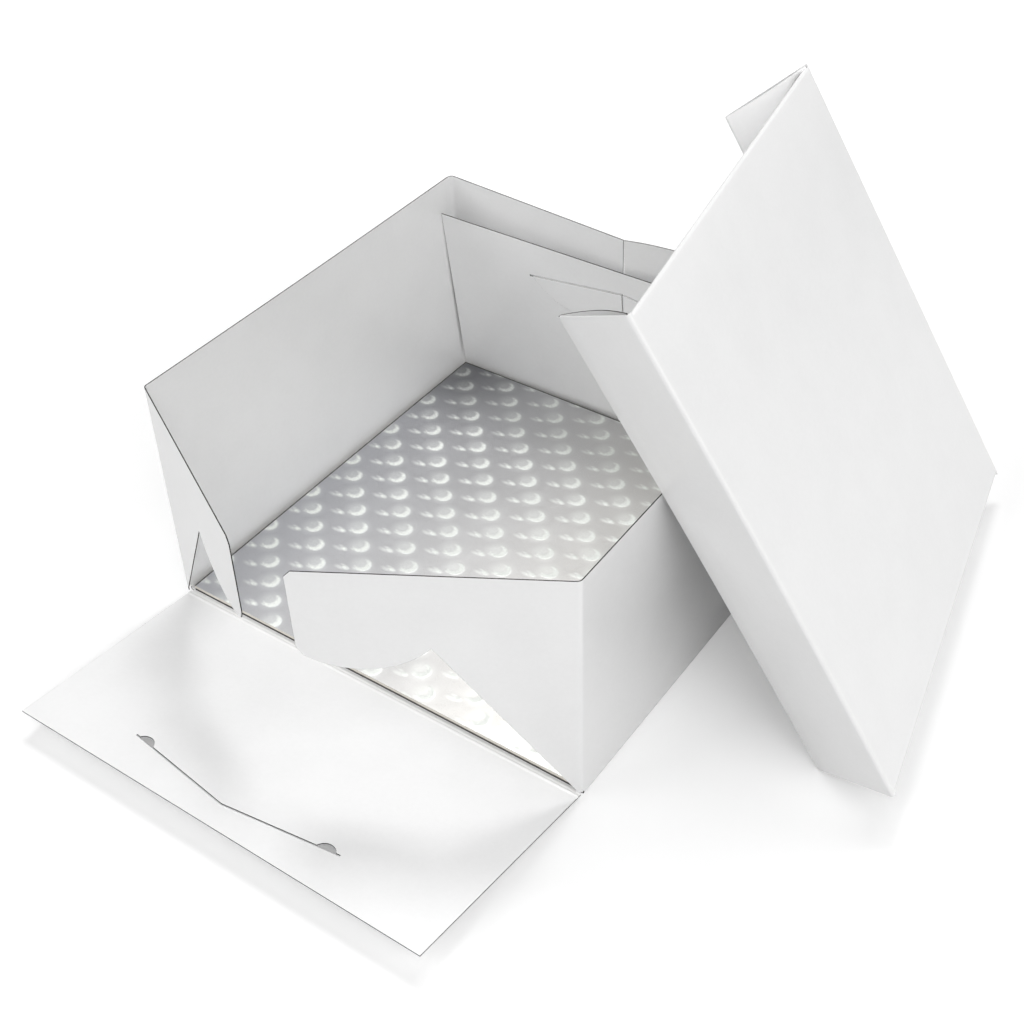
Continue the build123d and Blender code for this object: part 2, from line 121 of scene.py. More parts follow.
@dataclass
class Graph:
    """Adds shader nodes to one material or world.

    Args:
        owner: the material or world whose nodes are built.
    """

    owner: Material | bpy.types.World

    def __post_init__(self) -> None:
        """Clear the tree and keep a short name for it."""
        self.owner.use_nodes = True
        self.tree = self.owner.node_tree
        self.tree.nodes.clear()

    def node(
        self, kind: str, inputs: dict[str | int, object] | None = None, **settings: object
    ) -> bpy.types.Node:
        """Add one node.

        Args:
            kind: the node's type name.
            inputs: a socket to link or a constant to set, for each named or numbered input.
            settings: attributes of the node to set.

        Returns:
            The new node.
        """
        made = self.tree.nodes.new(kind)
        for key, value in settings.items():
            setattr(made, key, value)
        for key, value in (inputs or {}).items():
            if isinstance(value, Socket):
                self.tree.links.new(value, made.inputs[key])
            else:
                made.inputs[key].default_value = value
        return made

    def math(self, operation: str, *values: object) -> Socket:
        """Add a math node on one or two sockets or numbers."""
        return self.node("ShaderNodeMath", dict(enumerate(values)), operation=operation).outputs[0]

    def linear(self, value: Socket, factor: float, offset: float) -> Socket:
        """Value times a factor, plus an offset."""
        return self.math("ADD", self.math("MULTIPLY", value, factor), offset)

    def weighted(self, a: Socket, ka: float, b: Socket, kb: float) -> Socket:
        """Sum of two values, each times its own factor."""
        return self.math("ADD", self.math("MULTIPLY", a, ka), self.math("MULTIPLY", b, kb))

    def place(self) -> Socket:
        """Position on the piece in the row frame, in metres."""
        return self.node("ShaderNodeTexCoord").outputs["Object"]

    def axes(self, place: Socket) -> list[Socket]:
        """The three coordinates of a place."""
        return list(self.node("ShaderNodeSeparateXYZ", {0: place}).outputs)

    def distance(self, place: Socket, point: Triple) -> Socket:
        """Distance of a place from a point."""
        made = self.node("ShaderNodeVectorMath", {0: place, 1: point}, operation="DISTANCE")
        return made.outputs["Value"]

    def noise(self, place: Socket, scale: float, detail: float) -> Socket:
        """Grey value of a noise texture."""
        inputs = {"Vector": place, "Scale": scale, "Detail": detail}
        return self.node("ShaderNodeTexNoise", inputs).outputs["Fac"]

    def smooth(self, value: Socket, source: Pair, result: Pair) -> Socket:
        """Map one range of a value to another, easing in and out.

        Args:
            value: the value to map.
            source: the two ends of its own range.
            result: what those ends become.

        Returns:
            The mapped value.
        """
        names = ("From Min", "From Max", "To Min", "To Max")
        inputs = {"Value": value, **dict(zip(names, (*source, *result)))}
        made = self.node("ShaderNodeMapRange", inputs, interpolation_type="SMOOTHSTEP")
        return made.outputs["Result"]

    def ramp(self, value: Socket, stops: tuple[float, ...], colours: tuple[Triple, ...]) -> Socket:
        """Map a value to a colour.

        Args:
            value: the value to map.
            stops: positions from 0 to 1.
            colours: the colour at each position.

        Returns:
            The colour output.
        """
        made = self.node("ShaderNodeValToRGB", {"Fac": value})
        elements = made.color_ramp.elements
        while len(elements) < len(stops):
            elements.new(0.5)
        for element, position, colour in zip(elements, stops, colours):
            element.position = position
            element.color = (*colour, 1.0)
        return made.outputs["Color"]

    def over(self, base: Socket, colour: Triple, share: Socket) -> Socket:
        """Lay a colour over another one, by a share from 0 to 1."""
        inputs = {"Factor": share, MixSocket.BASE: base, MixSocket.OVER: (*colour, 1.0)}
        return self.node("ShaderNodeMix", inputs, data_type="RGBA").outputs[MixSocket.RESULT]

    def bump(
        self, height: Socket, distance: float, strength: float, below: Socket | None = None
    ) -> Socket:
        """Add a bump node on top of another normal.

        Args:
            height: the height value.
            distance: how far a height of one stands up, in metres.
            strength: how much of the bump is used.
            below: a normal that this bump is laid over.

        Returns:
            The new normal.
        """
        inputs = {"Height": height, "Distance": distance, "Strength": strength}
        if below is not None:
            inputs["Normal"] = below
        return self.node("ShaderNodeBump", inputs).outputs["Normal"]

    def choose(self, share: Socket, first: Socket, second: Socket) -> Socket:
        """Mix two shaders, by a share from 0 to 1."""
        return self.node("ShaderNodeMixShader", {0: share, 1: first, 2: second}).outputs[0]

    def surface(self, **sockets: object) -> Material:
        """Add the principled shader and the output.

        Args:
            sockets: input names, with underscores for spaces, and a number, colour or socket each.

        Returns:
            The finished material.
        """
        inputs = {key.replace("_", " "): value for key, value in sockets.items()}
        shader = self.node("ShaderNodeBsdfPrincipled", inputs)
        self.node("ShaderNodeOutputMaterial", {"Surface": shader.outputs[0]})
        return self.owner


# Finishes. A noise is given as its scale and detail, and a relief as its height and strength.


@dataclass(frozen=True)
class CoatedCard:
    """White clay-coated side of folding board: pale, faintly mottled, with a soft sheen."""

    name: str = "coated_white_card"
    pale: Triple = (0.88, 0.88, 0.88)
    shade: Triple = (0.85, 0.85, 0.85)
    stops: Pair = (0.30, 0.62)
    cloud: Pair = (34.0, 3.0)
    cloud_share: float = 0.6
    fleck: Pair = (420.0, 4.0)
    fleck_share: float = 0.4
    wave: Pair = (14.0, 1.0)
    wave_relief: Pair = (4.0 * MM, 0.18)
    fibre: Pair = (1500.0, 3.0)
    fibre_relief: Pair = (0.02 * MM, 0.35)
    roughness: float = 0.40
    roughness_spread: float = 0.12
    coat: float = 1.0
    coat_roughness: float = 0.22
    coat_index: float = 1.6

    def build(self) -> Material:
        """Make the material."""
        graph = Graph(bpy.data.materials.new(self.name))
        place = graph.place()
        cloud = graph.noise(place, *self.cloud)
        fleck = graph.noise(place, *self.fleck)
        mottle = graph.weighted(cloud, self.cloud_share, fleck, self.fleck_share)
        wave = graph.bump(graph.noise(place, *self.wave), *self.wave_relief)
        least = self.roughness - self.roughness_spread / 2
        return graph.surface(
            Base_Color=graph.ramp(mottle, self.stops, (self.shade, self.pale)),
            Roughness=graph.linear(fleck, self.roughness_spread, least),
            Normal=graph.bump(graph.noise(place, *self.fibre), *self.fibre_relief, wave),
            Coat_Weight=self.coat,
            Coat_Roughness=self.coat_roughness,
            Coat_IOR=self.coat_index,
        )


@dataclass(frozen=True)
class BarePaper:
    """Uncoated paper or board, grained by its fibres."""

    name: str
    dark: Triple
    light: Triple
    stops: Pair
    grain: Pair
    relief: Pair
    roughness: float
    specular: float = 0.5

    def build(self) -> Material:
        """Make the material."""
        graph = Graph(bpy.data.materials.new(self.name))
        grain = graph.noise(graph.place(), *self.grain)
        return graph.surface(
            Base_Color=graph.ramp(grain, self.stops, (self.dark, self.light)),
            Roughness=self.roughness,
            Specular_IOR_Level=self.specular,
            Normal=graph.bump(grain, *self.relief),
        )


# Cut edges of the white box card, coloured near black: the shade lines that fall along the board's
# thin cut and rounded edges are painted into this colour.
SHADED_CUT_EDGE = BarePaper(
    name="cut_edge_painted_shade",
    dark=(0.020, 0.019, 0.018),
    light=(0.075, 0.072, 0.068),
    stops=(0.35, 0.65),
    grain=(900.0, 5.0),
    relief=(0.05 * MM, 0.6),
    roughness=0.9,
    specular=0.1,
)
BACKING = BarePaper(
    name="backing_paper",
    dark=(0.72, 0.71, 0.69),
    light=(0.80, 0.79, 0.77),
    stops=(0.3, 0.7),
    grain=(700.0, 4.0),
    relief=(0.03 * MM, 0.5),
    roughness=0.75,
)


@dataclass(frozen=True)
class Disc:
    """Soft-edged oval of the foil's motif, in millimetres from the middle of its cell.

    Args:
        centre: the oval's centre.
        stretch: factors on the two distances.
        radius: the oval's radius before the factors.
        blur: half the width of its soft edge.
        strength: its value inside.
    """

    centre: Pair
    stretch: Pair
    radius: float
    blur: float
    strength: float = 1.0

    def build(self, graph: Graph, cell: tuple[Socket, Socket]) -> Socket:
        """Add the oval's nodes.

        Args:
            graph: the material's graph.
            cell: the two distances in the cell.

        Returns:
            The oval's strength inside it and zero outside.
        """
        squares = []
        for distance, centre, stretch in zip(cell, self.centre, self.stretch):
            side = graph.math("MULTIPLY", graph.math("SUBTRACT", distance, centre), stretch)
            squares.append(graph.math("MULTIPLY", side, side))
        reach = graph.math("SQRT", graph.math("ADD", *squares))
        away = graph.math("SUBTRACT", reach, self.radius)
        return graph.smooth(away, (-self.blur, self.blur), (self.strength, 0.0))


@dataclass(frozen=True)
class FoilFace:
    """Embossed metallised paper: silver with rows of raised crescents, whose bright lit sides are
    painted into the colour as highlights.

    Its lengths are in millimetres, apart from the reliefs.
    """

    name: str = "embossed_foil"
    cool: Triple = (0.545, 0.55, 0.575)
    warm: Triple = (0.64, 0.625, 0.59)
    stops: Pair = (0.1, 0.9)
    gradient: Pair = (3.2, 0.5)
    painted_highlight: Triple = (0.90, 0.93, 0.89)
    # painted contact shadow along the card's left and rear cut, with its widths in millimetres
    painted_edge_shadow: Triple = (0.05, 0.05, 0.05)
    edge_shadow_left: float = 0.8
    edge_shadow_rear: float = 1.2
    half: float = 136.25
    top: float = 4.6
    # painted shade near the left rear corner: how far it reaches, and the share of brightness kept
    # at the corner
    painted_shade_reach: float = 85.0
    painted_shade_kept: float = 0.42
    column: Pair = (24.4, 14.0)
    row: Pair = (11.7, -12.6)
    start: Pair = (-109.0, 21.5)
    streak: Pair = (-7.6, -7.4)
    moon: Disc = Disc((0.0, 0.0), (1.0, 1.0), 5.2, 1.2)
    bite: Disc = Disc((-2.4, 0.9), (1.0, 1.0), 3.9, 1.9)
    tail: Disc = Disc((-2.2, -4.6), (0.5, 1.0), 1.0, 1.0, 0.6)
    halo: Disc = Disc((-0.5, -0.4), (0.85, 0.85), 5.0, 3.6, 0.28)
    head: Disc = Disc((0.0, 0.0), (0.6, 1.0), 1.3, 1.2, 0.9)
    trail: Disc = Disc((-3.0, -1.2), (0.42, 1.1), 1.2, 1.2, 0.45)
    prong: Disc = Disc((-2.4, 1.2), (0.5, 1.2), 0.9, 0.9, 0.45)
    speck: Pair = (700.0, 3.0)
    speck_range: Pair = (1.3, 0.32)
    grain: Pair = (2200.0, 2.0)
    grain_relief: Pair = (0.03 * MM, 0.5)
    sheen: Pair = (30.0, 2.0)
    sheen_relief: Pair = (3.0 * MM, 0.12)
    mark_relief: Pair = (0.25 * MM, 0.4)
    mark_cover: float = 0.95
    roughness: float = 0.24
    grain_roughness: float = 0.1
    mark_roughness: float = 0.2

    def build(self) -> Material:
        """Make the material."""
        graph = Graph(bpy.data.materials.new(self.name))
        place = graph.place()
        axes = graph.axes(place)
        # painted shade darkens the foil and its highlights towards the left rear corner
        kept = self._painted_corner_shade(graph, place)
        rim = self._painted_shadow_band(graph, axes)
        speck = graph.linear(graph.noise(place, *self.speck), *self.speck_range)
        emboss_highlight = graph.math("MULTIPLY", self._highlight_marks(graph, axes), speck)
        emboss_highlight = graph.math("MULTIPLY", graph.math("MINIMUM", emboss_highlight, 1.0), kept)
        gradient = graph.linear(axes[0], *self.gradient)
        unshaded = graph.ramp(gradient, self.stops, (self.cool, self.warm))
        shaded_tone = graph.node("ShaderNodeVectorMath", {0: unshaded, "Scale": kept}, operation="SCALE")
        # painted highlight: the crescents and streaks are laid over the foil in a pale tint
        lit = graph.over(shaded_tone.outputs[0], self.painted_highlight, emboss_highlight)
        grain = graph.noise(place, *self.grain)
        sheen = graph.bump(graph.noise(place, *self.sheen), *self.sheen_relief)
        fine = graph.bump(grain, *self.grain_relief, sheen)
        metal = graph.math("SUBTRACT", 1.0, graph.math("MULTIPLY", emboss_highlight, self.mark_cover))
        rough = graph.linear(grain, self.grain_roughness, self.roughness)
        return graph.surface(
            # the painted contact shadow darkens the left and rear cut and takes the metal away
            # there
            Base_Color=graph.over(lit, self.painted_edge_shadow, rim),
            Metallic=graph.math("MULTIPLY", metal, graph.math("SUBTRACT", 1.0, rim)),
            Roughness=graph.math("ADD", rough, graph.math("MULTIPLY", emboss_highlight, self.mark_roughness)),
            Normal=graph.bump(emboss_highlight, *self.mark_relief, fine),
        )

    def _highlight_marks(self, graph: Graph, axes: list[Socket]) -> Socket:
        """Rows of crescents, each with a forked streak beside it: the lit sides of the embossed
        discs, used both as painted highlights in the colour and as the relief.

        Args:
            graph: the material's graph.
            axes: coordinates of the place on the card.

        Returns:
            One on the marks and zero on plain foil.
        """
        cell = self._cell(graph, axes, (0.0, 0.0))
        beside = self._cell(graph, axes, self.streak)
        left = graph.math("SUBTRACT", 1.0, self.bite.build(graph, cell))
        emboss_highlight = graph.math("MULTIPLY", self.moon.build(graph, cell), left)
        for disc in (self.tail, self.halo):
            emboss_highlight = graph.math("MAXIMUM", emboss_highlight, disc.build(graph, cell))
        for disc in (self.head, self.trail, self.prong):
            emboss_highlight = graph.math("MAXIMUM", emboss_highlight, disc.build(graph, beside))
        return emboss_highlight

    def _cell(self, graph: Graph, axes: list[Socket], shift: Pair) -> tuple[Socket, Socket]:
        """Position from the nearest mark of the repeat.

        Args:
            graph: the material's graph.
            axes: coordinates of the place on the card.
            shift: offset of the marks from the repeat's own corner.

        Returns:
            The two distances.
        """
        x, y = (
            graph.linear(axis, 1 / MM, -(start + offset))
            for axis, start, offset in zip(axes, self.start, shift)
        )
        (column_x, column_y), (row_x, row_y) = self.column, self.row
        size = column_x * row_y - column_y * row_x
        i = self._wrap(graph, graph.weighted(x, row_y / size, y, -row_x / size))
        j = self._wrap(graph, graph.weighted(x, -column_y / size, y, column_x / size))
        return graph.weighted(i, column_x, j, row_x), graph.weighted(i, column_y, j, row_y)

    def _wrap(self, graph: Graph, value: Socket) -> Socket:
        """Value less the nearest whole number."""
        return graph.math("SUBTRACT", graph.math("FRACT", graph.math("ADD", value, 0.5)), 0.5)

    def _painted_corner_shade(self, graph: Graph, place: Socket) -> Socket:
        """Share of the foil's brightness kept under a painted shade, least at its left rear
        corner, where the walls shade it.
        """
        corner = (-self.half * MM, self.half * MM, self.top * MM)
        reach = graph.distance(place, corner)
        return graph.smooth(reach, (0.0, self.painted_shade_reach * MM), (self.painted_shade_kept, 1.0))

    def _painted_shadow_band(self, graph: Graph, axes: list[Socket]) -> Socket:
        """One in the painted contact shadow along the card's left and rear cut, where it meets the
        left wall and the back flap.
        """
        left = graph.math("LESS_THAN", axes[0], (self.edge_shadow_left - self.half) * MM)
        rear = graph.math("GREATER_THAN", axes[1], (self.half - self.edge_shadow_rear) * MM)
        return graph.math("MAXIMUM", left, rear)


@dataclass(frozen=True)
class LaminatedBoard:
    """Core of the cake card: pressed layers of recycled board seen on its cut edge, grey at the
    very bottom, dark across its lower part and pale beige above.

    Its levels run from 0 at the core's bottom to 1 at its top.
    """

    name: str = "laminated_board"
    lower: Triple = (0.50, 0.50, 0.50)
    # dark band across the lower part of the board's edge
    dark_band: Triple = (0.035, 0.03, 0.03)
    upper: Triple = (0.74, 0.71, 0.64)
    stops: tuple[float, ...] = (0.02, 0.08, 0.40, 0.50)
    bottom: float = 0.75 * MM
    height: float = 3.7 * MM
    wander: Pair = (60.0, 2.0)
    wander_share: float = 0.12
    fleck: Pair = (800.0, 4.0)
    fleck_share: float = 0.10
    relief: Pair = (0.1 * MM, 0.3)
    roughness: float = 0.85

    def build(self) -> Material:
        """Make the material."""
        graph = Graph(bpy.data.materials.new(self.name))
        place = graph.place()
        level = graph.math("SUBTRACT", graph.axes(place)[2], self.bottom)
        level = graph.math("MULTIPLY", level, 1.0 / self.height)
        for noise, share in ((self.wander, self.wander_share), (self.fleck, self.fleck_share)):
            stray = graph.math("SUBTRACT", graph.noise(place, *noise), 0.5)
            level = graph.math("ADD", level, graph.math("MULTIPLY", stray, share))
        layers = (self.lower, self.dark_band, self.dark_band, self.upper)
        return graph.surface(
            Base_Color=graph.ramp(level, self.stops, layers),
            Roughness=self.roughness,
            Normal=graph.bump(level, *self.relief),
        )


@dataclass
class Stock:
    """What the pieces are made from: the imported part's solids, and each finish built once."""

    nodes: dict[str, Object]
    card: Material = field(default_factory=CoatedCard().build)
    edge: Material = field(default_factory=SHADED_CUT_EDGE.build)
    foil: Material = field(default_factory=FoilFace().build)
    board: Material = field(default_factory=LaminatedBoard().build)
    paper: Material = field(default_factory=BACKING.build)


# Card sheets


def make_piece(name: str, work: BMesh, materials: tuple[Material, ...]) -> Object:
    """Turn a worked mesh into a smooth-shaded object of the scene.

    Args:
        name: the object's name.
        work: the mesh, which is freed.
        materials: its materials, in the order of Face.

    Returns:
        The new object.
    """
    mesh = bpy.data.meshes.new(name)
    work.to_mesh(mesh)
    work.free()
    piece = bpy.data.objects.new(name, mesh)
    bpy.context.scene.collection.objects.link(piece)
    for material in materials:
        mesh.materials.append(material)
    mesh.shade_smooth()
    return piece


@dataclass
class Panel:
    """One flat panel of card, taken from its solid and given the soft shape of real board.

    Args:
        node: the solid that this sheet stands for.
        body: the body it rides on.
        trims: planes, as a point and the kept side, where a rounded fold takes over.
        warp: moves a point to where the bent sheet has it.
        pale: whether its cut edges are coated like its faces.
        pitch: spacing of the cuts that let the sheet bend.
        bevel: width of its rounded edges.
        sliver: length under which an edge left by the cuts is dropped.
        weld: distance under which corners of the solid are one.
        flat: angle under which faces of the solid are one.
        narrow: widest cut edge, in thicknesses of the board.
        slant: greatest share of the sheet's normal in a cut edge's own.
        level: greatest slope of a sheet that counts as level.
    """

    node: str
    body: Body
    trims: list[Plane] = field(default_factory=list)
    warp: Warp | None = None
    pale: bool = False
    pitch: float = 9 * MM
    bevel: float = 0.10 * MM
    sliver: float = 0.02 * MM
    weld: float = 1e-6
    flat: float = math.radians(0.5)
    narrow: float = 1.3
    slant: float = 0.05
    level: float = 0.1

    def build(self, stock: Stock) -> None:
        """Make the sheet and hide the solid.

        Args:
            stock: the solids and the finishes.
        """
        work = bmesh.new()
        work.from_mesh(stock.nodes[self.node].data)
        bmesh.ops.remove_doubles(work, verts=work.verts, dist=self.weld)
        bmesh.ops.dissolve_limit(work, angle_limit=self.flat, verts=work.verts, edges=work.edges)
        normal = max(work.faces, key=lambda face: face.calc_area()).normal.copy()
        self._mark_edges(work, normal)
        for point, kept in self.trims:
            self._slice(work, point, kept, clear=True)
            self._close(work)
        if self.warp is not None:
            self._cut(work, normal)
        bmesh.ops.remove_doubles(work, verts=work.verts, dist=self.sliver)
        self._choose_edges(work)
        if self.warp is not None:
            for vertex in work.verts:
                vertex.co = self.warp(vertex.co)
        cut = stock.card if self.pale else stock.edge
        piece = make_piece(self.node + "_sheet", work, (stock.card, cut, stock.card))
        self._soften(piece)
        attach(piece, self.body.value)
        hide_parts(self.node)
        log.info("sheet %s on %s", piece.name, self.body.value)

    def _mark_edges(self, work: BMesh, normal: Vector) -> None:
        """Give the narrow cut faces the edge finish."""
        for face in work.faces:
            across = abs(face.normal.dot(normal)) < self.slant
            face.material_index = Face.CUT if across and self._narrow(face) else Face.COATED

    def _narrow(self, face: bmesh.types.BMFace) -> bool:
        """Whether a face is as narrow as the board is thick."""
        longest = max(edge.calc_length() for edge in face.edges)
        return face.calc_area() < longest * BOARD * self.narrow

    def _slice(self, work: BMesh, point: Vector, kept: Vector, clear: bool = False) -> None:
        """Cut every face along a plane.

        Args:
            work: the sheet's mesh.
            point: a point of the plane.
            kept: the plane's normal, towards the side that always stays.
            clear: whether the other side is taken away.
        """
        everything = work.verts[:] + work.edges[:] + work.faces[:]
        bmesh.ops.bisect_plane(
            work, geom=everything, plane_co=point, plane_no=kept, dist=1e-7, clear_inner=clear
        )

    def _close(self, work: BMesh) -> None:
        """Close the open end that a trim leaves, and mark it so that it stays sharp."""
        rim = [edge for edge in work.edges if edge.is_boundary]
        for face in bmesh.ops.holes_fill(work, edges=rim, sides=0)["faces"]:
            face.material_index = Face.TRIMMED

    def _cut(self, work: BMesh, normal: Vector) -> None:
        """Cut the sheet into cells along two directions in its plane.

        Args:
            work: the sheet's mesh.
            normal: the sheet's normal.
        """
        side = Vector((0, 0, 1)).cross(normal)
        first = side.normalized() if side.length > self.level else Vector((1, 0, 0))
        for along in (first, normal.cross(first).normalized()):
            low = min(vertex.co.dot(along) for vertex in work.verts)
            high = max(vertex.co.dot(along) for vertex in work.verts)
            for step in range(1, int((high - low) / self.pitch) + 1):
                self._slice(work, along * (low + step * self.pitch), along)

    def _choose_edges(self, work: BMesh) -> None:
        """Choose the edges to round: every sharp one that isn't at a trimmed end."""
        weight = work.edges.layers.float.new("bevel_weight_edge")
        for edge in work.edges:
            if len(edge.link_faces) != 2:
                continue
            if any(face.material_index == Face.TRIMMED for face in edge.link_faces):
                edge.smooth = False
            elif edge.calc_face_angle() > SHARP:
                edge[weight] = 1.0

    def _soften(self, piece: Object) -> None:
        """Round the chosen edges by a small bevel, and weight the normals by area."""
        bevel = piece.modifiers.new("softened", "BEVEL")
        bevel.width = self.bevel
        bevel.segments = 2
        bevel.limit_method = "WEIGHT"
        # the rounded edges take the near-black cut-edge colour, a painted shade line
        bevel.material = Face.CUT
        normals = piece.modifiers.new("normals", "WEIGHTED_NORMAL")
        normals.keep_sharp = True


@dataclass
class Sweep:
    """Sheet of board bent along one path and drawn out straight along a crease.

    Args:
        name: the piece's name.
        start: one end of the crease.
        end: the other end.
        path: the middle of the board's thickness, as offsets from the crease.
        warp: moves a point to where the bent sheet has it.
        pitch: spacing of the cross-sections.
        pale: how many parts of the path, from its start, keep pale coated ends.
    """

    name: str
    start: Vector
    end: Vector
    path: list[Vector]
    warp: Warp | None = None
    pitch: float = 7 * MM
    pale: int = 0

    def build(self, stock: Stock) -> Object:
        """Make the sheet.

        Args:
            stock: the solids and the finishes.

        Returns:
            The new piece, which rides on nothing yet.
        """
        sides = self._sides()
        last = 2 * len(sides) - 2
        count = max(2, int((self.end - self.start).length / self.pitch))
        work = bmesh.new()
        rows = []
        for step in range(count + 1):
            centre = self.start.lerp(self.end, step / count)
            places = [centre + offset for pair in sides for offset in pair]
            if self.warp is not None:
                places = [self.warp(point) for point in places]
            rows.append([work.verts.new(point) for point in places])
        for near, far in zip(rows, rows[1:]):
            for high in range(0, last, 2):
                low = high + 1
                work.faces.new((near[high], near[high + 2], far[high + 2], far[high]))
                work.faces.new((near[low], far[low], far[low + 2], near[low + 2]))
            for high in (0, last):
                cut = work.faces.new((near[high], far[high], far[high + 1], near[high + 1]))
                cut.material_index = Face.COATED if self.pale >= len(sides) else Face.CUT
        for row in (rows[0], rows[-1]):
            for high in range(0, last, 2):
                low = high + 1
                cut = work.faces.new((row[high], row[low], row[low + 2], row[high + 2]))
                cut.material_index = Face.COATED if high // 2 < self.pale else Face.CUT
        bmesh.ops.recalc_face_normals(work, faces=work.faces)
        piece = make_piece(self.name, work, (stock.card, stock.edge))
        piece.data.set_sharp_from_angle(angle=SHARP)
        log.info("bent sheet %s", self.name)
        return piece

    def _sides(self) -> list[tuple[Vector, Vector]]:
        """The two faces of the board at each point of the path."""
        along = (self.end - self.start).normalized()
        sides = []
        last = len(self.path) - 1
        for index, point in enumerate(self.path):
            before = self.path[max(0, index - 1)]
            after = self.path[min(last, index + 1)]
            out = along.cross(after - before).normalized() * (BOARD / 2)
            sides.append((point + out, point - out))
        return sides


@dataclass
class Fold:
    """Rounded fold between two panels that meet on a crease.

    Args:
        start: one end of the crease.
        end: the other end.
        first: direction from the crease into one panel.
        second: direction from the crease into the other panel.
        radius: radius of the bend at the middle of the board.
        margin: flat board on each side of the bend.
        steps: how many straight parts make up the bend.
    """

    start: Vector
    end: Vector
    first: Vector
    second: Vector
    radius: float = 1.2 * MM
    margin: float = 0.8 * MM
    steps: int = 10

    def __post_init__(self) -> None:
        """Square the directions to the crease and work out how far the bend reaches."""
        along = (self.end - self.start).normalized()
        self.first = (self.first - along * self.first.dot(along)).normalized()
        self.second = (self.second - along * self.second.dot(along)).normalized()
        self.turn = math.pi - self.first.angle(self.second)
        self.tangent = self.radius * math.tan(self.turn / 2)
        self.reach = self.tangent + self.margin

    def path(self) -> list[Vector]:
        """Middle of the board from one panel round the bend to the other."""
        out_first = (self.first * self.second.dot(self.first) - self.second).normalized()
        out_second = (self.second * self.first.dot(self.second) - self.first).normalized()
        centre = self.first * self.tangent - out_first * self.radius
        axis = out_first.cross(out_second)
        points = [self.first * self.reach]
        for step in range(self.steps + 1):
            turn = Matrix.Rotation(self.turn * step / self.steps, 3, axis)
            points.append(centre + (turn @ out_first) * self.radius)
        points.append(self.second * self.reach)
        return points

    def trim_first(self) -> Plane:
        """Plane that ends the first panel where the fold begins."""
        return self.start + self.first * self.reach, self.first

    def trim_second(self) -> Plane:
        """Plane that ends the second panel where the fold begins."""
        return self.start + self.second * self.reach, self.second


# Sub-assemblies


